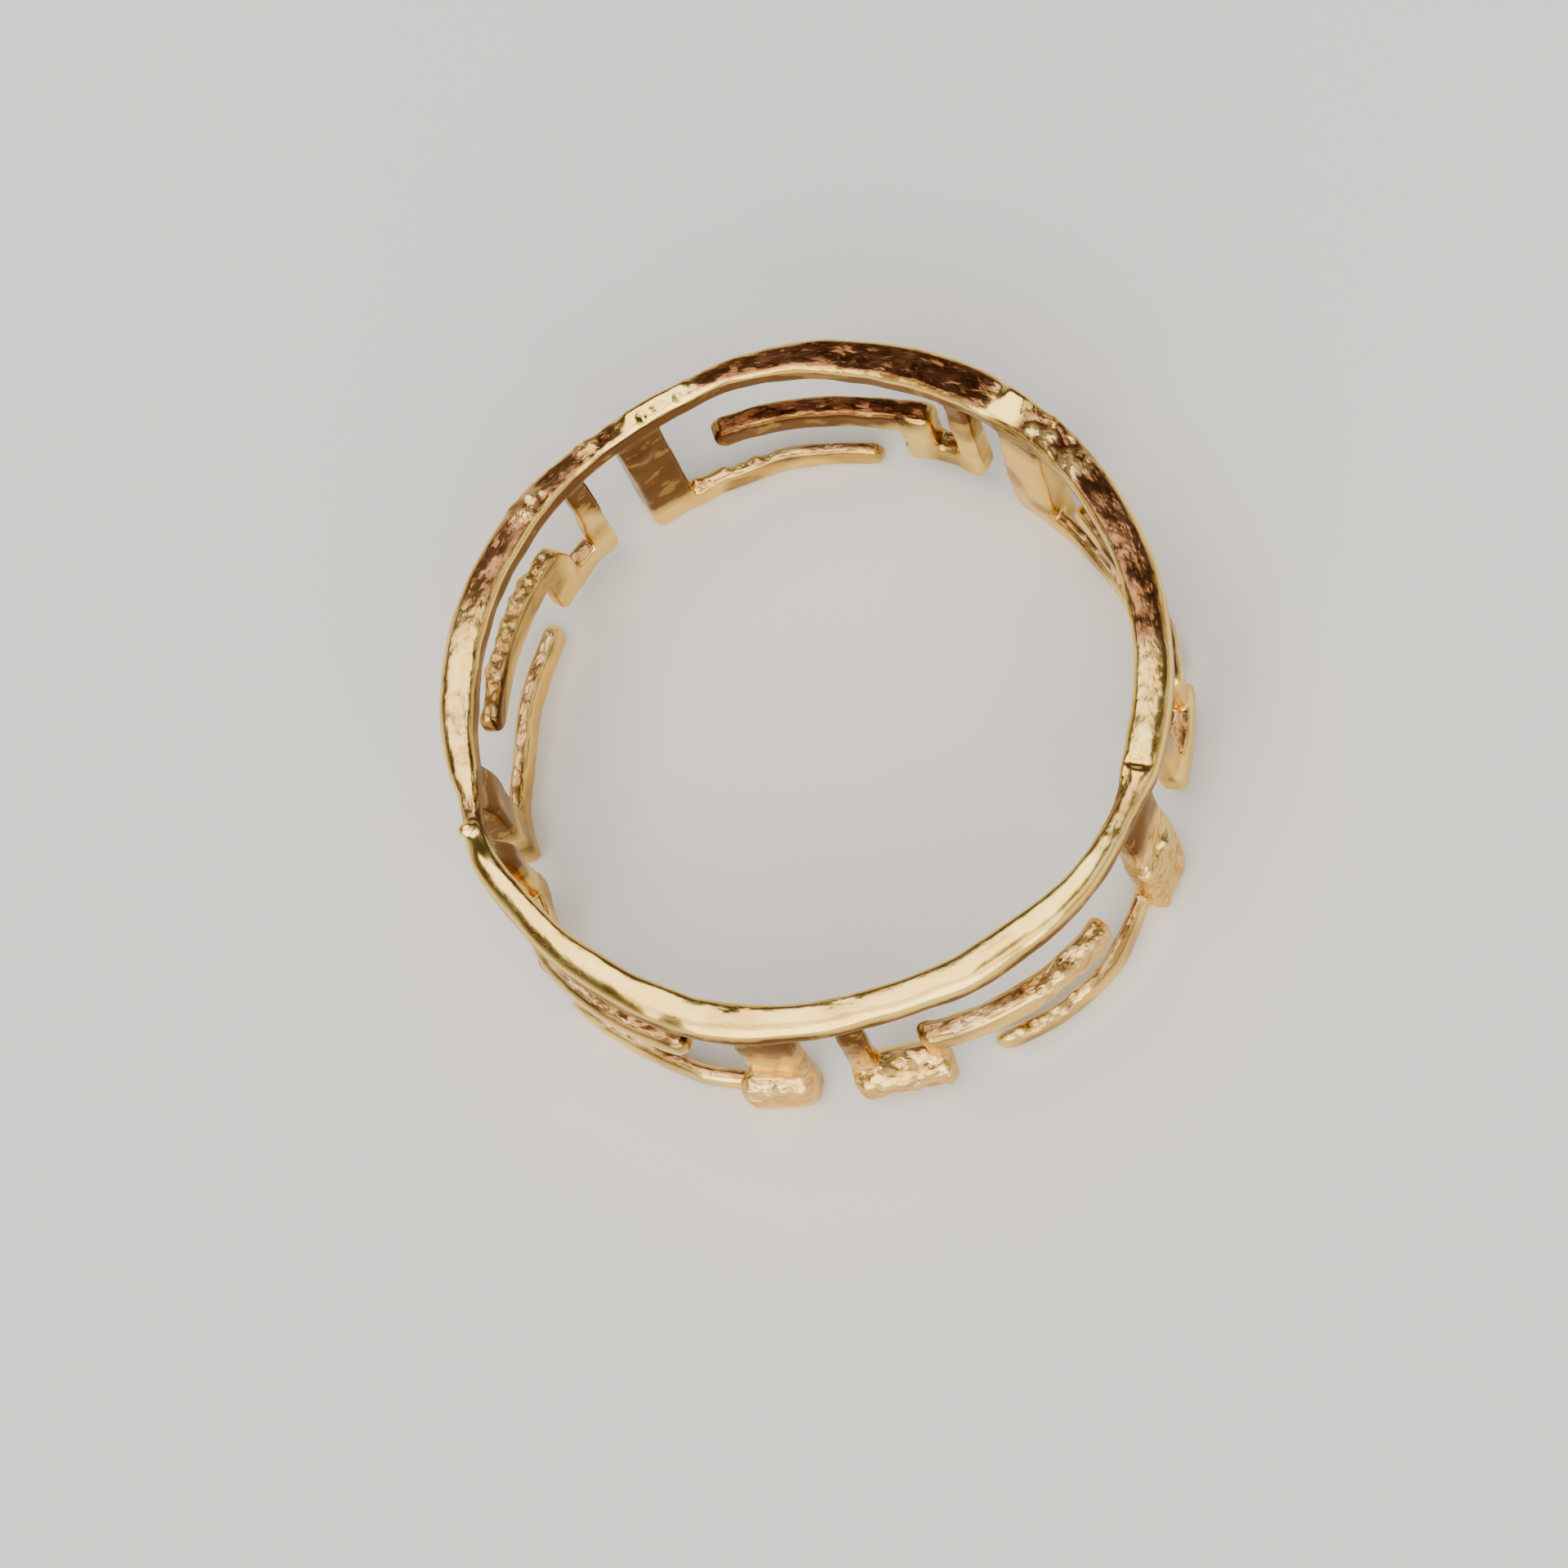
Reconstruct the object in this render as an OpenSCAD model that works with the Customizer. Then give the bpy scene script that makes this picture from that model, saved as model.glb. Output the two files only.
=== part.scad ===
// Band ring with a pierced Greek-key pattern, cast in one piece of yellow gold.
// It lies on its side: the key pattern stands on the surface and the plain rim is on top.
// The origin is on the ring's axis, at the height of the surface. Lengths round the ring are
// measured along the finger hole, clockwise from above, from the leading edge of each stem.

/* [Ring] */
// Radius of the finger hole
bore_r = 8.65; // [7.85:0.8:11.05]
// Thickness of the rim, from the hole outwards
wall_t = 0.9; // [0.9:0.05:1.4]
// Width of the band, along the finger
band_w = 5.7; // [5.7:0.1:8]
// Width of the plain rim
rim_w = 0.7; // [0.5:0.05:0.9]
// How far the key pattern is set back from the rim's inner side
inset = 0.05; // [0.03:0.01:0.05]

/* [Key pattern] */
// Number of repeats round the ring
repeats = 5; // [4:1:5]
// Angle from the +X axis to the first stem's leading edge
first_lead = 55.4; // [0:0.1:90]
// Share of the repeat that is open between one hook and the next
gap_share = 0.085; // [0.07:0.015:0.085]
// Width of the stem that carries the low bar
stem_w = 1.4; // [0.9:0.1:1.6]
// Width of the two thin posts
post_w = 0.68; // [0.6:0.08:0.76]
// Opening between the low bar's free end and the short bar
low_gap = 0.65; // [0.5:0.15:0.95]
// Distance from the stem's leading edge to the middle bar's free end
middle_from = 2.5; // [2.5:0.5:3.5]
// Length of the short bar, over both thin posts
short_len = 2.4; // [2:0.2:2.6]
// Height of the low bar, which stands on the surface
low_h = 0.85; // [0.6:0.05:0.9]
// Height of the short bar
short_h = 0.85; // [0.6:0.05:1]
// Clearance under the short bar
short_lift = 0.75; // [0.5:0.05:0.9]
// Height of the middle bar
middle_h = 0.8; // [0.6:0.05:0.9]
// Clearance under the middle bar
middle_lift = 2.55; // [2.3:0.05:2.8]
// Thickness of the stem, from its inner side outwards
stem_t = 0.8; // [0.75:0.05:0.8]
// Thickness of the thin posts
post_t = 0.7; // [0.7:0.05:0.8]
// Thickness of the short bar
short_t = 0.65; // [0.5:0.05:0.65]
// Thickness of the middle bar
middle_t = 0.6; // [0.4:0.05:0.6]
// Thickness of the low bar
low_t = 0.4; // [0.4:0.05:0.55]

/* [Hidden] */
$fn = 180;
// Lets neighbouring shapes run into each other, so that they fuse
overlap = 0.2;
// The round end of a bar is smaller than the bar by this much on each side
ease = 0.02;
pattern_r = bore_r + inset;
// Angle that one millimetre takes up along the finger hole
per_mm = 180 / (PI * bore_r);
pitch = 360 / repeats;
// Places along the finger hole, from the stem's leading edge
short_to = pitch * (1 - gap_share) / per_mm;
short_from = short_to - short_len;
middle_to = short_from + post_w;
low_to = short_from - low_gap;
gold = [0.90, 0.74, 0.42];

// A piece of the pierced wall between two places and two heights
module wall(from, to, bottom, top, thick) {
    rotate([0, 0, -to * per_mm])
        rotate_extrude(angle = (to - from) * per_mm)
            translate([pattern_r, bottom])
                square([thick, top - bottom]);
}

// A bar of the wall with a round free end, which is a short peg that points outwards
module bar(free_at, fixed_at, bottom, high, thick) {
    inward = free_at < fixed_at ? 1 : -1;
    peg_at = free_at + inward * (high / 2 - ease);
    wall(min(peg_at, fixed_at), max(peg_at, fixed_at), bottom, bottom + high, thick);
    rotate([0, 0, -peg_at * per_mm])
        translate([pattern_r + ease, 0, bottom + high / 2])
            rotate([0, 90, 0])
                cylinder(h = thick - 2 * ease, d = high - 2 * ease, $fn = 48);
}

// The low hook: a wide stem from the rim down to the surface, and a long bar on the surface
module low_hook() {
    wall(0, stem_w, 0, band_w - rim_w + overlap, stem_t);
    bar(low_to, stem_w - overlap, 0, low_h, low_t);
}

// The middle hook: a thin post down from the rim, a short bar, a thin post up again,
// and a middle bar that turns back above the low one
module middle_hook() {
    wall(short_to - post_w, short_to, short_lift, band_w - rim_w + overlap, post_t);
    wall(short_from, short_to, short_lift, short_lift + short_h, short_t);
    wall(short_from, middle_to, short_lift, middle_lift + middle_h, post_t);
    bar(middle_from, middle_to - overlap, middle_lift, middle_h, middle_t);
}

// The whole ring: the plain rim, with the pair of hooks repeated round it
module band() {
    color(gold)
        union() {
            translate([0, 0, band_w - rim_w])
                difference() {
                    cylinder(h = rim_w, r = bore_r + wall_t);
                    translate([0, 0, -overlap])
                        cylinder(h = rim_w + 2 * overlap, r = bore_r);
                }
            for (i = [0 : repeats - 1])
                rotate([0, 0, first_lead + i * pitch]) {
                    low_hook();
                    middle_hook();
                }
        }
}

band();
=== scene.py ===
import math

import bpy
import numpy as np
from mathutils import Matrix, Vector


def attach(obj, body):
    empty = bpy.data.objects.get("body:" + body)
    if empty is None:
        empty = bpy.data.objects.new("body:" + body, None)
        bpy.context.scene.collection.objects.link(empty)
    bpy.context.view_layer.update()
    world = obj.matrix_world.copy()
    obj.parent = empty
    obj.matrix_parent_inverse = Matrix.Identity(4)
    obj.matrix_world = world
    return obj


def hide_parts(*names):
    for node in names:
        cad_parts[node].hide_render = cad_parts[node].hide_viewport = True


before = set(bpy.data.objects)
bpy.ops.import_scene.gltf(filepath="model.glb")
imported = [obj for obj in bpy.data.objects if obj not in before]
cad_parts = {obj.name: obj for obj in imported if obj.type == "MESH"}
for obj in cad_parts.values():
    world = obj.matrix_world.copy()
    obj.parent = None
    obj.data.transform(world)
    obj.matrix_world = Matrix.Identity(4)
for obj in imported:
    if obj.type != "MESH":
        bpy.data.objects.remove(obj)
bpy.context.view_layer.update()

# A cast gold band ring with a pierced Greek-key pattern. It is one mesh, which stands for the node "band".
# The tables give its rim, its five repeats and the bends and knocks of the casting. From them comes the
# signed distance to the metal, and the mesh is drawn where that distance is nought.
# Lengths are in millimetres until the mesh is written. A place on the band is (along, height, radius):
# along is the way round at MID_R from +X towards +Y, and height is above the floor.
MM = 0.001
MID_R = 9.1
LAP = 2 * math.pi * MID_R
PER_DEGREE = LAP / 360
SEED = 7000

# The block that the surface is looked for in: its first corner, its height and thickness, and its cells
BLOCK_START = (0.0, -0.3, 8.3)
BLOCK_HIGH = 6.4
BLOCK_THICK = 1.8
STEP = 0.08
# The block that noise fills: its lowest height and least radius, and its size up and out
NOISE_START = (-1, 7.5)
NOISE_SIZE = (8, 4)

RIM_BOTTOM = 5.02
# How far the rim's top face is rounded off at ROUNDED_AT from its middle, where it was rubbed most
ROUNDED = 0.07
ROUNDED_AT = 0.45
# Radius at which the pattern's wall starts, and the thickness that fills the rim from side to side
WALL = 8.70
WALL_THICK = 0.8
# Bottom and top of the plates of a repeat, and how wide the last post is, in degrees
STEM = (0.0, 5.35)
LOW_BAR = (0.0, 0.85)
MIDDLE_BAR = (2.5, 3.35)
FIRST_POST = (0.9, 3.3)
SHORT_BAR = (0.75, 1.66)
LAST_POST = (0.8, 5.35)
LAST_POST_WIDE = 4.4
# How far beyond a mark's or a plate's end its distance still counts
MARK_REACH = 0.6
PLATE_REACH = 0.7
# A worn edge is a bevel, turned this far from the first of the two sides that meet there
BEVEL = math.radians(38)
OUTER_WEAR = 0.10
INNER_WEAR = 0.07
WEAR_SOFT = 0.04
# Fillets round a blob, in a hollow and between plates
BLOB_FILLET = 0.12
HOLLOW_FILLET = 0.10
PLATE_FILLET = 0.16
# The grain of the metal is stretched along the ring: its places have the way round at this share of its
# length. Its swirls and chips have these sizes, and the swirls shift the chips this far.
GRAIN = 0.5
SWIRL_SIZE = 0.5
CHIP_SIZE = 0.20
SWIRL_SHIFT = (0.45, 0.45, 0.45)

GOLD_DEEP = (0.94, 0.60, 0.145, 1)
GOLD_PALE = (0.99, 0.73, 0.235, 1)
GOLD_EDGE = (1.0, 0.86, 0.66, 1)
# Brown of the painted shade below the rim and on the rim's walls, and of random stains
SHADE_AND_STAIN_BROWN = (0.09, 0.026, 0.010, 1)
BRIGHT_SKIN_DEEP = (0.60, 0.30, 0.10, 1)
BRIGHT_SKIN_PALE = (0.97, 0.68, 0.32, 1)
# Dark skin: partly the casting skin's own darker tone, partly painted shade and dark reflection
DARK_SKIN_AND_SHADE_DEEP = (0.11, 0.022, 0.011, 1)
DARK_SKIN_AND_SHADE_PALE = (0.26, 0.078, 0.038, 1)
FLOOR_GREY = (0.80, 0.79, 0.77, 1)
WALLS_GLOW = (0.70, 0.66, 0.60, 1)
CEILING_GLOW = (0.05, 0.043, 0.04, 1)
WARM = (1.0, 0.97, 0.91)
WARMER = (1.0, 0.96, 0.88)
FILL_WHITE = (1.0, 0.97, 0.93)

# The rim as it was bent and filed: (angle, inner radius, outer radius, top, slope of the top face, which
# is above nought where it rises outwards)
RIM = [
    (3, 8.62, 9.60, 5.70, 0.00),
    (6, 8.62, 9.60, 5.67, -0.12),
    (20, 8.62, 9.60, 5.67, -0.14),
    (38, 8.60, 9.62, 5.66, -0.14),
    (49, 8.56, 9.62, 5.60, -0.14),
    (51.2, 8.54, 9.60, 5.62, -0.10),
    (52.2, 8.50, 9.56, 5.74, 0.20),
    (56, 8.50, 9.56, 5.74, 0.20),
    (57, 8.50, 9.64, 5.66, -0.10),
    (60, 8.50, 9.68, 5.68, -0.18),
    (75, 8.52, 9.68, 5.68, -0.20),
    (90, 8.66, 9.64, 5.66, -0.20),
    (105, 8.78, 9.50, 5.66, -0.18),
    (110, 8.74, 9.38, 5.64, -0.10),
    (111.5, 8.66, 9.26, 5.74, 0.24),
    (123, 8.58, 9.18, 5.74, 0.24),
    (124.5, 8.58, 9.26, 5.64, -0.06),
    (133, 8.62, 9.38, 5.60, -0.16),
    (137, 8.64, 9.46, 5.60, -0.18),
    (146, 8.68, 9.62, 5.64, -0.18),
    (163, 8.66, 9.66, 5.68, -0.14),
    (170, 8.62, 9.64, 5.70, 0.02),
    (182, 8.62, 9.60, 5.70, 0.04),
    (193, 8.66, 9.46, 5.70, 0.02),
    (198, 8.82, 9.40, 5.56, 0.00),
    (202, 8.98, 9.48, 5.50, 0.00),
    (208, 8.92, 9.66, 5.68, -0.06),
    (221, 8.76, 9.58, 5.70, -0.08),
    (235, 8.62, 9.52, 5.70, -0.10),
    (249, 8.60, 9.60, 5.70, -0.10),
    (256, 8.62, 9.62, 5.70, -0.08),
    (270, 8.58, 9.48, 5.66, -0.10),
    (284, 8.48, 9.34, 5.68, -0.10),
    (292, 8.50, 9.34, 5.70, -0.10),
    (298, 8.52, 9.48, 5.70, -0.10),
    (305, 8.54, 9.50, 5.70, -0.10),
    (312, 8.64, 9.54, 5.70, -0.08),
    (320, 8.78, 9.56, 5.68, -0.06),
    (327, 8.88, 9.54, 5.66, -0.02),
    (334, 8.86, 9.46, 5.60, 0.05),
    (339, 8.80, 9.48, 5.58, 0.02),
    (342, 8.68, 9.64, 5.70, 0.00),
    (350, 8.62, 9.64, 5.70, 0.00),
]

# Knocks, blobs and hollows left on the rim and the pattern by the casting: (angle, height, radius, half
# sizes along, up and out, 1 to add metal or -1 to cut it away)
MARKS = [
    (199.5, 5.80, 9.30, 0.26, 0.34, 0.60, -1),
    (203.0, 5.52, 9.36, 0.18, 0.16, 0.26, 1),
    (206.0, 5.82, 9.10, 0.50, 0.20, 0.12, -1),
    (338.0, 5.78, 8.86, 0.75, 0.26, 0.20, -1),
    (329.5, 5.80, 8.80, 0.55, 0.18, 0.14, -1),
    (343.6, 5.82, 9.05, 0.16, 0.22, 0.40, -1),
    (49.4, 5.86, 9.42, 0.24, 0.24, 0.30, -1),
    (45.0, 5.80, 9.45, 0.30, 0.20, 0.18, -1),
    (40.5, 5.78, 9.20, 0.26, 0.16, 0.16, -1),
    (74.5, 2.35, 8.74, 0.34, 0.80, 0.20, 1),
    (51.5, 2.00, 8.76, 0.70, 1.70, 0.18, 1),
    (146.5, 2.20, 8.76, 0.34, 0.90, 0.20, 1),
    (124.0, 4.30, 8.76, 0.34, 0.40, 0.20, 1),
    (118.5, 0.55, 8.74, 0.50, 0.30, 0.18, 1),
    (135.5, 5.84, 9.20, 0.34, 0.22, 0.26, -1),
    (141.0, 5.84, 9.50, 0.26, 0.22, 0.20, -1),
    (113.4, 5.85, 8.80, 0.11, 0.21, 0.18, -1),
    (117.2, 5.85, 8.84, 0.24, 0.20, 0.11, -1),
    (120.6, 5.83, 8.78, 0.13, 0.20, 0.15, -1),
]

# How far the pierced pattern stands off its true circle below the rim:
# (angle, offset at the middle bars, offset at the floor)
BEND = [
    (350, 0.12, 0.16),
    (0, 0.30, 0.32),
    (12, 0.38, 0.38),
    (20, 0.20, 0.14),
    (27, -0.10, -0.16),
    (45, -0.14, -0.22),
    (60, -0.20, -0.26),
    (90, -0.28, -0.28),
    (122, -0.18, -0.22),
    (140, 0.00, -0.04),
    (160, -0.06, -0.16),
    (176, -0.10, -0.26),
    (192, -0.08, -0.12),
    (205, -0.12, -0.18),
    (213, -0.02, -0.02),
    (222, 0.42, 0.72),
    (238, 0.42, 0.60),
    (252, 0.32, 0.54),
    (260, 0.22, 0.34),
    (268, 0.16, 0.16),
    (284, 0.12, 0.12),
    (293, 0.40, 0.40),
    (308, 0.62, 0.80),
    (320, 0.66, 0.92),
    (329, 0.30, 0.52),
    (343, 0.08, 0.10),
]

# The skin of the casting: (angle, how much of it is left on the rim's top face, how dark it is, which is
# partly the skin's own darker tone and partly painted shade and dark reflection)
SKIN = [
    (0, 0.34, 0.3),
    (3, 0.34, 0.4),
    (5, 1.00, 0.9),
    (51, 1.00, 1.0),
    (52, 0.00, 0.3),
    (56.5, 0.00, 0.3),
    (58, 1.00, 1.0),
    (109.5, 1.00, 1.0),
    (111, 0.00, 0.4),
    (123.5, 0.00, 0.4),
    (125.5, 1.00, 0.9),
    (160, 1.00, 0.9),
    (166, 0.70, 0.7),
    (171, 0.38, 0.4),
    (190, 0.34, 0.3),
    (196, 0.20, 0.5),
    (200, 0.90, 0.9),
    (204, 0.00, 0.3),
    (228, 0.10, 0.2),
    (240, 0.00, 0.2),
    (254, 0.05, 0.2),
    (258, 0.35, 0.5),
    (264, 0.35, 0.5),
    (268, 0.05, 0.2),
    (274, 0.05, 0.2),
    (277, 0.40, 0.3),
    (281, 0.40, 0.3),
    (284, 0.05, 0.2),
    (328, 0.00, 0.2),
    (334, 0.60, 0.8),
    (340, 0.60, 0.8),
    (343, 0.10, 0.2),
    (348, 0.34, 0.3),
]

# Painted shade on the stems and posts below the rim, from a height up to the rim's underside:
# (angle, height that it starts at)
SHADE_UNDER_RIM = [
    (0, 3.2),
    (42, 4.1),
    (58, 4.1),
    (66, 3.2),
    (112, 0.7),
    (131, 0.7),
    (137, 3.4),
    (154, 3.4),
    (186, 1.8),
    (200, 1.8),
    (206, 3.2),
    (254, 2.7),
    (290, 2.7),
    (300, 3.2),
]

# The five repeats: angle of the stem's leading edge, then degrees clockwise from it to the stem's end,
# the low bar's free end, the middle bar's free end, and the two ends of the first post and of the short
# bar, then the thickness of the stem, low bar, middle bar, short bar and posts
COLUMNS = [
    "lead", "stem_to", "low_to", "mid_from", "post_from", "post_to", "short_from", "short_to",
    "stem_t", "low_t", "mid_t", "short_t", "post_t",
]
REPEATS = [
    (56.0, 9.0, 45.0, 16.6, 49.5, 54.0, 49.5, 66.0, 0.80, 0.40, 0.50, 0.66, 0.55),
    (127.5, 8.7, 44.7, 16.3, 50.6, 56.4, 50.0, 65.0, 0.90, 0.36, 0.62, 0.65, 0.65),
    (198.5, 8.0, 44.5, 18.5, 47.2, 52.4, 51.6, 63.4, 0.80, 0.46, 0.56, 0.58, 0.50),
    (269.2, 10.0, 44.5, 18.6, 49.5, 54.0, 49.5, 65.0, 0.52, 0.44, 0.60, 0.70, 0.55),
    (342.8, 10.5, 44.5, 20.5, 51.2, 54.3, 53.4, 66.9, 0.70, 0.38, 0.62, 0.92, 0.56),
]

# Thick rounded places that the casting left on two stems and a short bar:
# (from angle, to angle, bottom, top, thickness)
FEET = [
    (257.5, 269.4, 0.00, 1.60, 0.98),
    (276.4, 291.5, 0.60, 1.80, 1.04),
    (331.5, 342.4, 0.00, 2.60, 0.96),
]

# Stretches of the outer side, and of the rim's top face, left as crumpled as they were cast:
# (from angle, to angle, from height, to height)
LUMPY = [
    (257, 270, 0.5, 2.2),
    (274, 292, 0.4, 2.6),
    (300, 314, 0.4, 1.4),
    (306, 323, 2.6, 4.0),
    (330, 344, 0.0, 3.4),
    (36, 50.5, 5.2, 6.4),
    (102, 121, 0.4, 1.4),
    (126, 134, 5.2, 6.4),
    (141, 149, 5.2, 6.4),
    (148, 180, 2.8, 4.0),
]

# The bars below the rim are painted less dark between these angles, and it fades in over some degrees
LESS_SHADED_BARS = (140, 200)
LESS_SHADED_FADE = 8


def ramp(value, start, end):
    """Nought where a value is at start and one where it is at end, whichever of them is the larger."""
    return np.clip((value - start) / (end - start), 0, 1)


def eased(t):
    """A share from 0 to 1 that sets off and arrives gently."""
    return t * t * (3 - 2 * t)


def stations(table, column, blur=3.0):
    """A smooth closed curve through one column of a table, as a function of the angle in degrees."""
    spacing = 0.5
    angles = np.arange(0, 360, spacing)
    values = np.interp(angles, [row[0] for row in table], [row[column] for row in table], period=360)
    width = round(blur / spacing)
    window = np.hanning(2 * width + 3)
    window /= window.sum()
    wrapped = np.concatenate([values[-width - 1:], values, values[:width + 1]])
    smooth = np.convolve(wrapped, window, mode="valid")
    return lambda angle: np.interp(angle, angles, smooth, period=360)


rim_inner = stations(RIM, 1)
rim_outer = stations(RIM, 2)
rim_top = stations(RIM, 3, blur=1.0)
rim_slope = stations(RIM, 4, blur=1.5)
bend_middle = stations(BEND, 1, blur=5.0)
bend_floor = stations(BEND, 2, blur=5.0)
rim_skin = stations(SKIN, 1, blur=1.0)
skin_and_shade_dark = stations(SKIN, 2, blur=1.0)
shade_from = stations(SHADE_UNDER_RIM, 1)


def lattice(p, size):
    """Places counted in cells of about a size, and how many cells go round, up and out."""
    counts = np.array([round(LAP / size), *(round(side / size) + 2 for side in NOISE_SIZE)])
    up = (p[:, 1] - NOISE_START[0]) / size
    out = (p[:, 2] - NOISE_START[1]) / size
    return np.stack([p[:, 0] / LAP * counts[0], up, out], axis=1), counts


def noise(p, size, seed, channels=1):
    """Smooth noise from -1 to 1 with features of the given size, which closes round the ring."""
    q, counts = lattice(p, size)
    grid = np.random.default_rng(SEED + seed).uniform(-1, 1, (*counts, channels))
    cell = np.floor(q).astype(int)
    t = eased(q - cell)
    total = np.zeros((len(p), channels))
    for corner in np.ndindex(2, 2, 2):
        weight = np.ones(len(p))
        index = []
        for k in range(3):
            weight *= t[:, k] if corner[k] else 1 - t[:, k]
            index.append((cell[:, k] + corner[k]) % counts[k])
        total += weight[:, None] * grid[tuple(index)]
    return total if channels > 1 else total[:, 0]


def bumps(p, size, seed):
    """Height from 0 to 1 of lumps scattered at random, about one for each cell of the given size."""
    q, counts = lattice(p, size)
    grid = np.random.default_rng(SEED + seed).uniform(0, 1, (*counts, 3))
    cell = np.floor(q).astype(int)
    nearest = np.full(len(p), np.inf)
    for shift in np.ndindex(3, 3, 3):
        other = cell + np.array(shift) - 1
        index = other % counts
        point = other + grid[index[:, 0], index[:, 1], index[:, 2]]
        nearest = np.minimum(nearest, np.linalg.norm(q - point, axis=1))
    return 1 - np.clip(nearest * 1.2, 0, 1)


def blend_min(a, b, k):
    """The union of two distances with a fillet of about k."""
    h = np.clip(0.5 + 0.5 * (b - a) / k, 0, 1)
    return b + (a - b) * h - k * h * (1 - h)


def corner_distance(a, b):
    """Distance to what lies behind two sides at right angles, from the distances to both sides."""
    return np.hypot(np.maximum(a, 0), np.maximum(b, 0)) + np.minimum(np.maximum(a, b), 0)


def from_angle(p, angle):
    """Signed length along the band from an angle to each point."""
    return (p[:, 0] - angle * PER_DEGREE + LAP / 2) % LAP - LAP / 2


def rubbing(p):
    """How hard the outer edges were rubbed: nought at +Y and one at -Y."""
    return (1 - np.sin(np.radians(p[:, 0] / PER_DEGREE))) / 2


def worn(body, above, beside, depth, soft):
    """A distance with one edge worn down to a bevel, which cuts the corner off by a depth."""
    bevel = above * math.cos(BEVEL) + beside * math.sin(BEVEL) + depth
    return -blend_min(-body, -bevel, soft)


def plate(p, angles, heights, radii, corner, edge):
    """Distance to a curved plate with rounded corners, whose edges are rounded and then worn."""
    half_along = abs(angles[1] - angles[0]) * PER_DEGREE / 2
    half_high = (heights[1] - heights[0]) / 2
    half_thick = (radii[1] - radii[0]) / 2
    corner = min(corner, half_along, half_high)
    edge = min(edge, half_thick)
    along = np.abs(from_angle(p, (angles[0] + angles[1]) / 2)) - (half_along - corner)
    up = np.abs(p[:, 1] - (heights[0] + heights[1]) / 2) - (half_high - corner)
    through = np.abs(p[:, 2] - (radii[0] + radii[1]) / 2) - (half_thick - edge)
    flat = corner_distance(along, up) - corner
    body = corner_distance(flat + edge, through) - edge
    body = worn(body, flat, p[:, 2] - radii[1], OUTER_WEAR * rubbing(p), WEAR_SOFT)
    return worn(body, flat, radii[0] - p[:, 2], INNER_WEAR, WEAR_SOFT)


def rim(p):
    """Distance to the rim, whose section follows the table."""
    angle = p[:, 0] / PER_DEGREE
    inner, outer, top = rim_inner(angle), rim_outer(angle), rim_top(angle)
    rubbed = rubbing(p)
    edge = 0.12
    across = p[:, 2] - (inner + outer) / 2
    top = top + rim_slope(angle) * across - ROUNDED * rubbed * (across / ROUNDED_AT) ** 2
    side = np.abs(across) - ((outer - inner) / 2 - edge)
    up = np.abs(p[:, 1] - (RIM_BOTTOM + top) / 2) - ((top - RIM_BOTTOM) / 2 - edge)
    body = corner_distance(side, up) - edge
    # the outer edge is worn rounder towards -Y, and the inner one crisper
    body = worn(body, p[:, 1] - top, p[:, 2] - outer, 0.06 + 0.04 * rubbed, 0.05 + 0.17 * rubbed)
    return worn(body, p[:, 1] - top, inner - p[:, 2], 0.09 - 0.06 * rubbed, 0.03)


def mark(p, angle, height, radius, along, up, out):
    """Distance, near enough, to an ellipsoid."""
    sides = [from_angle(p, angle) / along, (p[:, 1] - height) / up, (p[:, 2] - radius) / out]
    return (np.linalg.norm(np.stack(sides, axis=1), axis=1) - 1) * min(along, up, out)


def into_rim(p):
    """Places moved so that the pattern's wall runs up inside the rim, however thick the rim is there."""
    angle = p[:, 0] / PER_DEGREE
    t = eased(ramp(p[:, 1], 3.9, 4.9))
    inner, outer = rim_inner(angle) + 0.05, rim_outer(angle) - 0.07
    there = WALL + (p[:, 2] - inner) * WALL_THICK / (outer - inner)
    return np.stack([p[:, 0], p[:, 1], p[:, 2] * (1 - t) + there * t], axis=1)


def pattern_plates():
    """Every plate of the key pattern: angles, heights, radii, corner radius, edge radius."""
    for row in REPEATS:
        u = dict(zip(COLUMNS, row))

        def stretch(start, end):
            """Angles between two places given in degrees clockwise from the stem's leading edge."""
            return u["lead"] - end, u["lead"] - start

        def radii(thickness):
            return WALL, WALL + u[thickness]

        last_from = u["short_to"] - LAST_POST_WIDE
        yield stretch(0, u["stem_to"]), STEM, radii("stem_t"), 0.25, 0.12
        yield stretch(u["stem_to"] - 2, u["low_to"]), LOW_BAR, radii("low_t"), 0.42, 0.11
        yield stretch(u["mid_from"], u["post_to"]), MIDDLE_BAR, radii("mid_t"), 0.40, 0.13
        yield stretch(u["post_from"], u["post_to"]), FIRST_POST, radii("post_t"), 0.22, 0.13
        yield stretch(u["short_from"], u["short_to"]), SHORT_BAR, radii("short_t"), 0.2, 0.16
        yield stretch(last_from, u["short_to"]), LAST_POST, radii("post_t"), 0.2, 0.13
    for start, end, bottom, top, thick in FEET:
        yield (start, end), (bottom, top), (WALL, WALL + thick), 0.40, 0.38


PLATES = list(pattern_plates())


def warp(p):
    """Places shifted a little, so that no wall is quite flat and no edge quite straight."""
    return p + 0.05 * noise(p, 1.6, 1, channels=3) + 0.018 * noise(p, 0.6, 4, channels=3)


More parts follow.
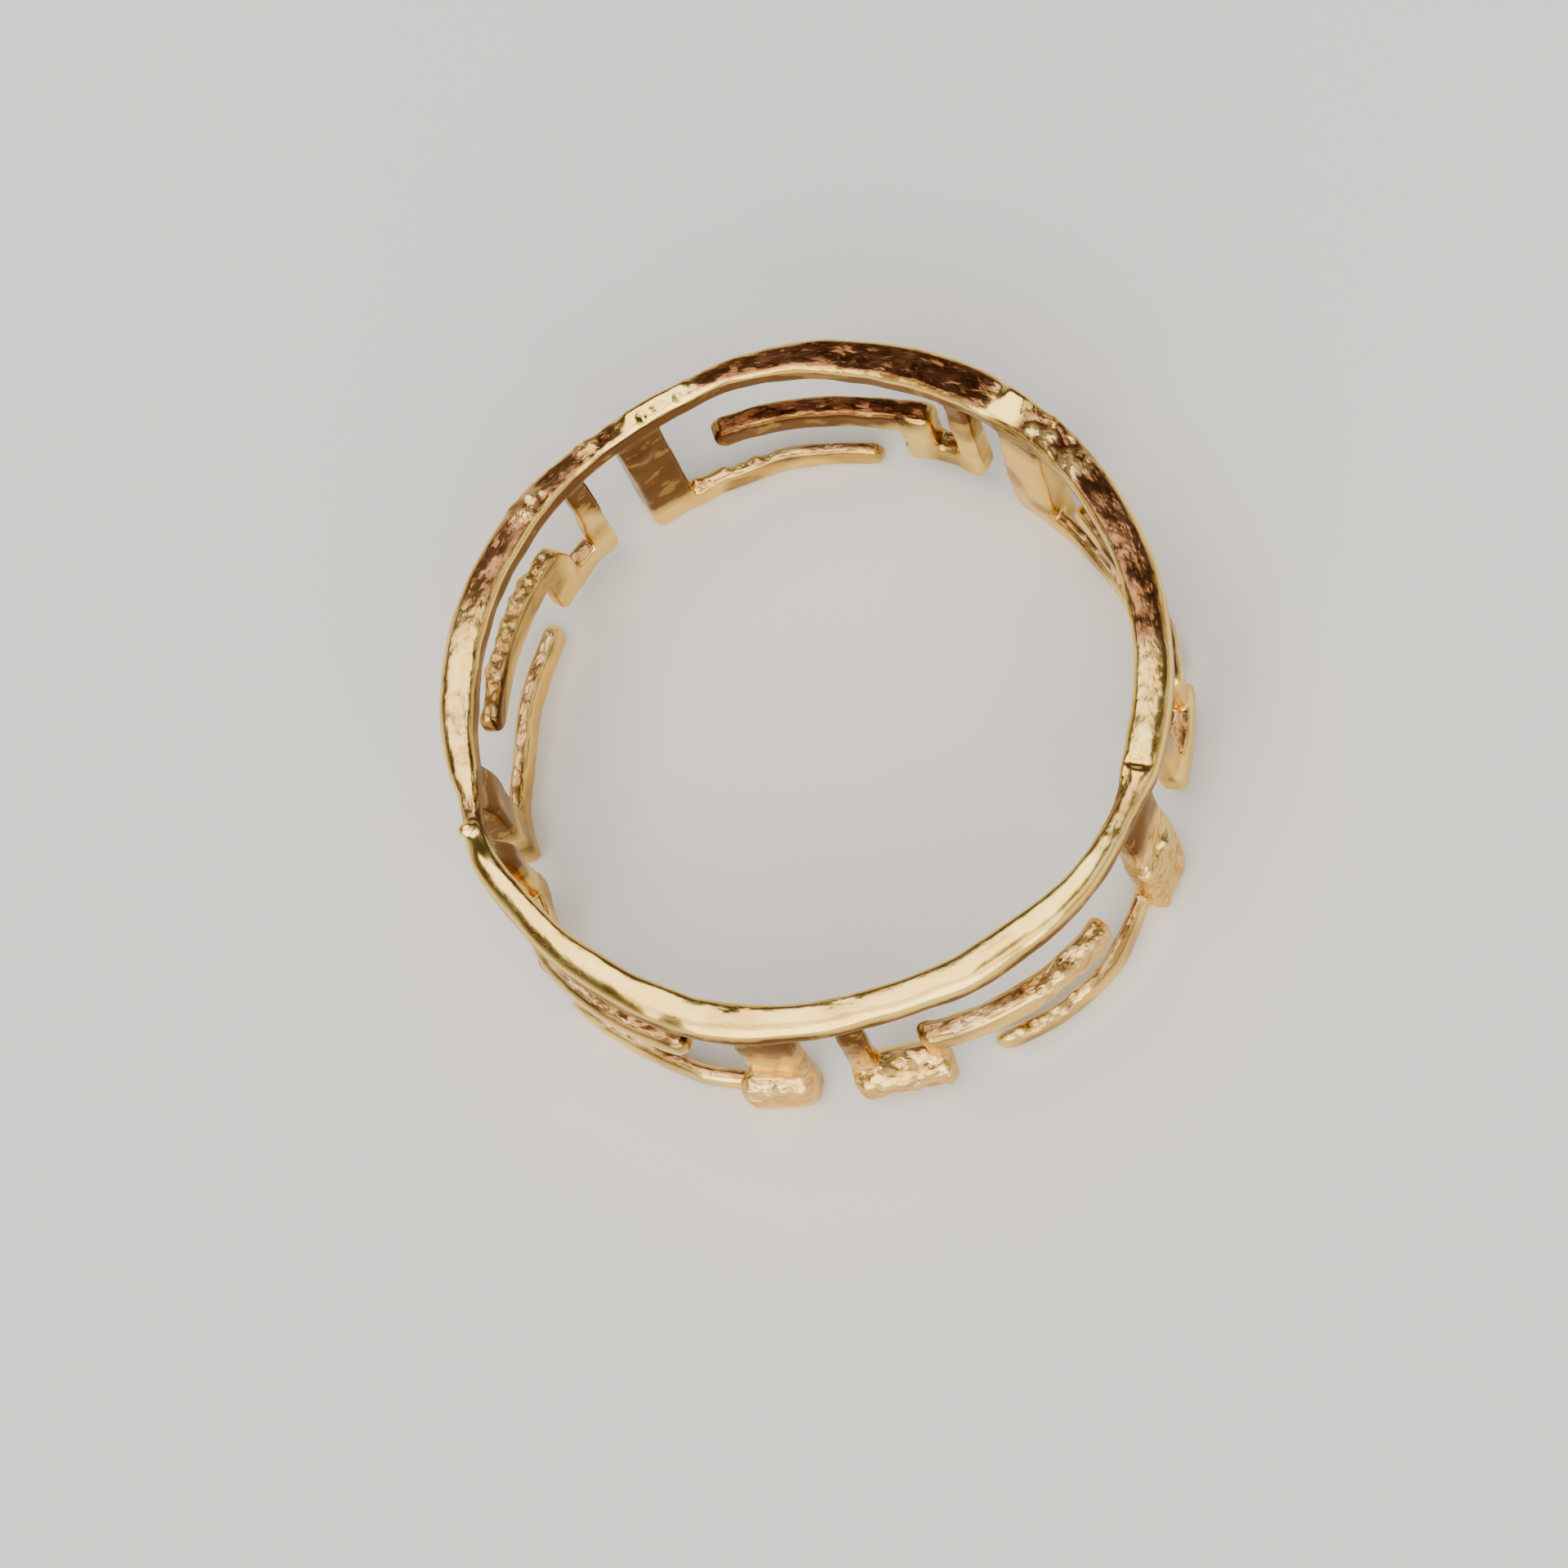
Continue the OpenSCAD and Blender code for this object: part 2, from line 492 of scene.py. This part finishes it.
def distance(p):
    """Signed distance to the whole ring at warped places, before the pattern is bent."""
    found = rim(p)
    for angle, height, radius, along, up, out, sign in MARKS:
        near = np.abs(from_angle(p, angle)) < along + MARK_REACH
        there = mark(p[near], angle, height, radius, along, up, out)
        if sign > 0:
            found[near] = blend_min(found[near], there, BLOB_FILLET)
        else:
            found[near] = -blend_min(-found[near], there, HOLLOW_FILLET)
    p = into_rim(p)
    for angles, heights, radii, corner, edge in PLATES:
        half = abs(angles[1] - angles[0]) * PER_DEGREE / 2
        near = np.abs(from_angle(p, (angles[0] + angles[1]) / 2)) < half + PLATE_REACH
        there = plate(p[near], angles, heights, radii, corner, edge)
        found[near] = blend_min(found[near], there, PLATE_FILLET)
    return found


def outward(p, reach=0.01):
    """Unit direction in which the distance grows at warped places."""
    slope = np.stack([distance(p + a) - distance(p - a) for a in np.eye(3) * reach], axis=1)
    return slope / np.maximum(np.linalg.norm(slope, axis=1, keepdims=True), 1e-9)


def net_points(field):
    """A point in each cell that the surface crosses, counted in cells, and each cell's point's number."""
    wrapped = np.concatenate([field, field[:1]], axis=0)
    shape = np.array(field.shape) - [0, 1, 1]

    def corner(bits):
        a, b, c = bits
        return wrapped[a:a + shape[0], b:b + shape[1], c:c + shape[2]]

    total = np.zeros((*shape, 3))
    crossings = np.zeros(shape)
    for axis in range(3):
        for first in np.ndindex(2, 2, 2):
            if first[axis]:
                continue
            second = list(first)
            second[axis] = 1
            f0, f1 = corner(first), corner(second)
            cut = (f0 < 0) != (f1 < 0)
            share = np.where(cut, f0 / np.where(cut, f0 - f1, 1), 0)
            for k in range(3):
                total[..., k] += cut * (first[k] + (share if k == axis else 0))
            crossings += cut
    active = crossings > 0
    number = np.full(shape, -1)
    number[active] = np.arange(active.sum())
    return np.argwhere(active) + total[active] / crossings[active][:, None], number


def net_faces(field, number):
    """A face round each step of the grid that crosses the surface, through the points of four cells."""
    inside = field < 0
    faces = []
    for axis in range(3):
        cut = inside != np.roll(inside, -1, axis=axis)
        # only the way round joins up with its start
        if axis:
            cut[(slice(None),) * axis + (-1,)] = False
        at = np.argwhere(cut)
        b, c = (axis + 1) % 3, (axis + 2) % 3
        corners = []
        for db, dc in ((-1, -1), (0, -1), (0, 0), (-1, 0)):
            cell = at.copy()
            cell[:, b] += db
            cell[:, c] += dc
            cell[:, 0] %= len(field)
            corners.append(number[cell[:, 0], cell[:, 1], cell[:, 2]])
        quad = np.stack(corners, axis=1)
        leaving = inside[at[:, 0], at[:, 1], at[:, 2]]
        faces.append(np.where(leaving[:, None], quad, quad[:, ::-1]))
    return np.concatenate(faces)


def skin():
    """Points and four-sided faces of the surface where the distance is nought."""
    count = round(LAP / STEP)
    step = np.array([LAP / count, STEP, STEP])
    start = np.array(BLOCK_START)
    shape = (count, round(BLOCK_HIGH / STEP), round(BLOCK_THICK / STEP))
    grid = np.stack(np.meshgrid(*[np.arange(n) for n in shape], indexing="ij"), axis=-1)
    field = distance(warp(grid.reshape(-1, 3) * step + start)).reshape(shape)
    points, number = net_points(field)
    return points * step + start, net_faces(field, number)


def crumpled(points, out):
    """How crumpled each point was left, from 0 to 1."""
    height = points[:, 1]
    most = np.zeros(len(points))
    for start, end, bottom, top in LUMPY:
        half = PER_DEGREE * (end - start) / 2
        inside = ramp(np.abs(from_angle(points, (start + end) / 2)), half, half - 0.3)
        inside *= ramp(height, bottom, bottom + 0.3) * ramp(height, top, top - 0.5)
        most = np.maximum(most, inside * ramp(out[:, 2], -0.25, 0))
    return most


def shaded_and_stained(points, out, on_rim):
    """How much painted shade and random stain each point has, from 0 to 1."""
    angle, height = points[:, 0] / PER_DEGREE, points[:, 1]
    lowest = shade_from(angle)
    # painted shade on the stems and posts, from the listed height up to the rim
    under_rim = ramp(height, lowest, lowest + 0.8) * ramp(height, 5.1, 5.0)
    # the painted shade is weaker on the outer side of the half at +Y
    far_outer_side = ramp(out[:, 2], 0, 0.5) * ramp(np.sin(np.radians(angle)), 0, 1 / 3)
    under_rim *= 1 - 0.7 * far_outer_side
    # painted shade low on the rim's inner and outer walls, below their top edges
    rim_wall = on_rim * np.where(out[:, 2] < 0, ramp(height, 5.56, 5.50), ramp(height, 5.46, 5.30))
    stain = np.clip(0.9 * noise(points, 1.1, 31) + 0.1, 0, 0.5) * (1 - on_rim)
    return np.maximum(np.maximum(under_rim, rim_wall), stain)


def finish(points, out):
    """What the gold reads at each point, each amount from 0 to 1, and how far the point stands out."""
    angle, height = points[:, 0] / PER_DEGREE, points[:, 1]
    on_rim = ramp(height, 4.9, 5.1)
    lumpy = crumpled(points, out)
    # faces along the finger keep the skin of the casting, walls are polished
    cast = ramp(np.abs(out[:, 1]), 0.84, 0.91) * (1 - on_rim * (1 - rim_skin(angle)))
    cast = np.maximum(cast, 0.8 * lumpy)
    # painted shade below the rim and on the rim's walls, with random stains, only on the polished metal
    painted_shade_and_stain = shaded_and_stained(points, out, on_rim) * (1 - cast)

    lumps = bumps(points, 0.46, 21) + 0.4 * bumps(points, 0.24, 22)
    # on the rim only the crests of the lumps are rubbed bright
    rubbed = lumpy * (1 - on_rim * (1 - ramp(lumps, 0.45, 0.60)))
    less_shaded = ramp(angle, LESS_SHADED_BARS[0], LESS_SHADED_BARS[0] + LESS_SHADED_FADE) * ramp(angle, LESS_SHADED_BARS[1], LESS_SHADED_BARS[1] - LESS_SHADED_FADE)
    # the skin's darkness is partly its own tone and partly painted shade, painted darker higher up below
    # the rim
    dark = skin_and_shade_dark(angle) * (0.55 + 0.40 * ramp(height, 0.9, 2.1))
    # the painted darkness is less on the bars below the rim in the given stretch of angles
    dark *= (1 - 0.75 * less_shaded * (1 - on_rim)) * (1 - 0.8 * rubbed)

    rough = (0.030 + 0.05 * lumpy) * noise(points, 0.55, 11)
    rough += (0.015 + 0.03 * lumpy) * noise(points, 0.26, 12)
    rough += (0.07 + 0.09 * lumpy) * lumps * (1 - 0.6 * dark * (1 - lumpy)) - 0.02 - 0.05 * lumpy
    wave = 0.008 * noise(points, 0.8, 13) + 0.004 * noise(points, 0.4, 14)
    amounts = {"cast": cast, "dark": dark, "painted_shade_and_stain": painted_shade_and_stain, "lumpy": rubbed}
    return amounts, cast * rough + (1 - cast) * wave


def bent(angle, height, radius):
    """Radius of each point once the pattern is bent out or in below the rim."""
    below = eased(ramp(height, RIM_BOTTOM, RIM_BOTTOM - 1.5))
    low = ramp(height, 3.0, 0.8)
    return radius + below * (bend_middle(angle) * (1 - low) + bend_floor(angle) * low)


def placed(angle, height, radius):
    """Places in x, y and z, none of them below the floor."""
    turn = np.radians(angle)
    return np.stack([radius * np.cos(turn), radius * np.sin(turn), np.maximum(height, 0)], axis=1)


def ring_mesh():
    """The ring's mesh, with the amounts and places that its material reads."""
    points, faces = skin()
    for _ in range(3):
        warped = warp(points)
        points = points - outward(warped) * distance(warped)[:, None]
    out = outward(warp(points))
    amounts, relief = finish(points, out)
    # the relief changes a point's height and radius, and leaves its angle
    angle = points[:, 0] / PER_DEGREE
    height = points[:, 1] + out[:, 1] * relief
    radius = bent(angle, height, points[:, 2] + out[:, 2] * relief)

    mesh = bpy.data.meshes.new("band_ring")
    mesh.from_pydata((placed(angle, height, radius) * MM).tolist(), [], faces.tolist())
    mesh.update()
    mesh.polygons.foreach_set("use_smooth", np.ones(len(mesh.polygons), bool))
    for key, values in amounts.items():
        layer = mesh.attributes.new(key, "FLOAT", "POINT")
        layer.data.foreach_set("value", values.astype(np.float32))
    grain = placed(angle, height, radius - MID_R * (1 - GRAIN))
    layer = mesh.attributes.new("grain", "FLOAT_VECTOR", "POINT")
    layer.data.foreach_set("vector", grain.astype(np.float32).ravel())
    return mesh


def material(name):
    """A new material, its nodes and its links."""
    made = bpy.data.materials.new(name)
    made.use_nodes = True
    return made, made.node_tree.nodes, made.node_tree.links


def gold_material():
    """Cast gold: polished and mottled, with painted shade and stains below the rim, and the casting's skin,
    partly painted dark as shade, on its faces.
    """
    gold, nodes, links = material("gold")
    shader = nodes["Principled BSDF"]
    shader.inputs["Metallic"].default_value = 1.0
    shader.inputs["Specular Tint"].default_value = GOLD_EDGE

    def add(kind, **values):
        """A node with some of its settings and sockets set."""
        node = nodes.new(kind)
        for key, value in values.items():
            if hasattr(node, key):
                setattr(node, key, value)
            else:
                node.inputs[key.replace("_", " ")].default_value = value
        return node

    def feed(socket, value):
        """Sets a socket to a constant or links an output to it."""
        if isinstance(value, (int, float, tuple)):
            socket.default_value = value
        else:
            links.new(value, socket)

    def read(name, output="Fac"):
        """An attribute of the mesh."""
        return add("ShaderNodeAttribute", attribute_name=name).outputs[output]

    def maths(operation, *values):
        node = add("ShaderNodeMath", operation=operation)
        for socket, value in zip(node.inputs, values):
            feed(socket, value)
        return node.outputs[0]

    def mix(share, a, b):
        """One colour turning into another as a share goes from 0 to 1."""
        node = add("ShaderNodeMix", data_type="RGBA")
        for socket, value in ((node.inputs["Factor"], share), (node.inputs[6], a), (node.inputs[7], b)):
            feed(socket, value)
        return node.outputs[2]

    def vector(operation, a, b):
        node = add("ShaderNodeVectorMath", operation=operation)
        feed(node.inputs[0], a)
        feed(node.inputs[1], b)
        return node.outputs["Value" if operation == "DOT_PRODUCT" else "Vector"]

    def facets(place, size):
        """Height of small flat chips, each tilted its own way, in mm."""
        chips = add("ShaderNodeTexVoronoi", Scale=1 / size)
        links.new(place, chips.inputs["Vector"])
        tilt = vector("SUBTRACT", chips.outputs["Color"], (0.5, 0.5, 0.5))
        return vector("DOT_PRODUCT", tilt, vector("SUBTRACT", place, chips.outputs["Position"]))

    cast, dark, painted_shade_and_stain, lumpy = read("cast"), read("dark"), read("painted_shade_and_stain"), read("lumpy")
    grain = read("grain", "Vector")
    swirl = add("ShaderNodeTexNoise", Scale=1 / SWIRL_SIZE, Detail=3, Roughness=0.6)
    links.new(grain, swirl.inputs["Vector"])
    swirled = swirl.outputs["Fac"]
    blotch = add("ShaderNodeMapRange", From_Min=0.38, From_Max=0.66)
    links.new(swirled, blotch.inputs["Value"])
    blotched = blotch.outputs["Result"]

    polished = mix(blotched, GOLD_DEEP, GOLD_PALE)
    # the polished gold turns brown with the painted shade and the random stains
    shade_and_stain = maths("MULTIPLY", maths("ADD", blotched, 0.75), painted_shade_and_stain)
    polished = mix(maths("MINIMUM", shade_and_stain, 0.96), polished, SHADE_AND_STAIN_BROWN)
    skin_bright = mix(blotched, BRIGHT_SKIN_DEEP, BRIGHT_SKIN_PALE)
    # the skin turns to its dark colour, partly its own tone and partly painted shade, as the dark amount
    # grows
    skin_and_shade_tone = mix(dark, skin_bright, mix(blotched, DARK_SKIN_AND_SHADE_DEEP, DARK_SKIN_AND_SHADE_PALE))
    skinned = maths("MULTIPLY", cast, maths("MULTIPLY_ADD", lumpy, -0.45, 0.95))
    links.new(mix(skinned, polished, skin_and_shade_tone), shader.inputs["Base Color"])

    smooth_rough = maths("MULTIPLY_ADD", swirled, 0.14, 0.13)
    links.new(maths("MULTIPLY_ADD", cast, 0.12, smooth_rough), shader.inputs["Roughness"])

    # chips and swirls on the skin, and a faint swirl all over, in mm
    shifted = vector("ADD", grain, vector("MULTIPLY", swirl.outputs["Color"], SWIRL_SHIFT))
    sharp = maths("MULTIPLY_ADD", lumpy, 0.40, 0.28)
    chipped = maths("MULTIPLY", facets(shifted, CHIP_SIZE), sharp)
    relief = maths("MULTIPLY", maths("MULTIPLY_ADD", swirled, 0.06, chipped), cast)
    bump = add("ShaderNodeBump", Strength=1.0, Distance=MM)
    links.new(maths("MULTIPLY_ADD", swirled, 0.012, relief), bump.inputs["Height"])
    links.new(bump.outputs["Normal"], shader.inputs["Normal"])
    return gold


def floor():
    """A pale floor, a hair's breadth under the ring."""
    size = 3.0
    z = -0.00001
    corners = [(-size, -size, z), (size, -size, z), (size, size, z), (-size, size, z)]
    mesh = bpy.data.meshes.new("floor")
    mesh.from_pydata(corners, [], [(0, 1, 2, 3)])
    made, nodes, links = material("floor")
    nodes.remove(nodes["Principled BSDF"])
    plain = nodes.new("ShaderNodeBsdfDiffuse")
    plain.inputs["Color"].default_value = FLOOR_GREY
    links.new(plain.outputs["BSDF"], nodes["Material Output"].inputs["Surface"])
    mesh.materials.append(made)
    flat = bpy.data.objects.new("floor", mesh)
    bpy.context.scene.collection.objects.link(flat)


def lamp(name, place, aim, size, power, colour):
    """A soft box: where it is, the place it faces, its sides in metres, its watts and its colour."""
    data = bpy.data.lights.new(name, "AREA")
    data.shape = "RECTANGLE"
    data.size, data.size_y = size
    data.energy = power
    data.color = colour
    made = bpy.data.objects.new(name, data)
    made.location = place
    made.rotation_euler = (Vector(aim) - Vector(place)).to_track_quat("-Z", "Y").to_euler()
    bpy.context.scene.collection.objects.link(made)


def lights():
    """Soft studio light, in a room with pale walls low down all round and a dim ceiling."""
    ring_at = (0, 0, 0)
    # The overhead boxes end a little behind the ring, and sooner on its right, so that the rim's far
    # half mirrors the dim ceiling
    lamp("overhead", (-0.175, 0.045, 0.50), (-0.175, 0.045, 0), (0.35, 0.43), 1.75, WARM)
    lamp("overhead_right", (0.075, -0.015, 0.50), (0.075, -0.015, 0), (0.15, 0.31), 0.54, WARM)
    lamp("fill", (0.55, -0.15, 0.50), ring_at, (0.45, 0.45), 0.8, FILL_WHITE)
    lamp("bridge", (0.0, -0.36, 0.52), ring_at, (0.80, 0.30), 1.9, WARM)
    lamp("front", (0.06, -0.62, 0.32), ring_at, (1.00, 0.50), 6.6, WARMER)

    world = bpy.data.worlds.new("studio")
    world.use_nodes = True
    nodes, links = world.node_tree.nodes, world.node_tree.links
    coords = nodes.new("ShaderNodeTexCoord")
    split = nodes.new("ShaderNodeSeparateXYZ")
    glow = nodes.new("ShaderNodeValToRGB")
    links.new(coords.outputs["Generated"], split.inputs[0])
    links.new(split.outputs["Z"], glow.inputs["Fac"])
    links.new(glow.outputs["Color"], nodes["Background"].inputs["Color"])
    walls, ceiling = glow.color_ramp.elements
    walls.position = 0.25
    walls.color = WALLS_GLOW
    ceiling.position = 0.50
    ceiling.color = CEILING_GLOW
    bpy.context.scene.world = world


def camera():
    """The photo's viewing angle, about 22 degrees off straight down."""
    data = bpy.data.cameras.new("camera")
    data.sensor_width = 36
    data.lens = 98.44
    data.clip_start, data.clip_end = 0.005, 20
    made = bpy.data.objects.new("camera", data)
    place = Vector((0.02183, -0.03806, 0.10644))
    # the axis that the camera is turned about, as long as the turn in radians
    turn = Vector((0.332, 0.208, 0))
    made.matrix_world = Matrix.Translation(place) @ Matrix.Rotation(turn.length, 4, turn)
    bpy.context.scene.collection.objects.link(made)
    bpy.context.scene.camera = made


gold = gold_material()
ring = bpy.data.objects.new("band_ring", ring_mesh())
ring.data.materials.append(gold)
bpy.context.scene.collection.objects.link(ring)
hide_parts("band")
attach(ring, "root")
floor()
lights()
camera()
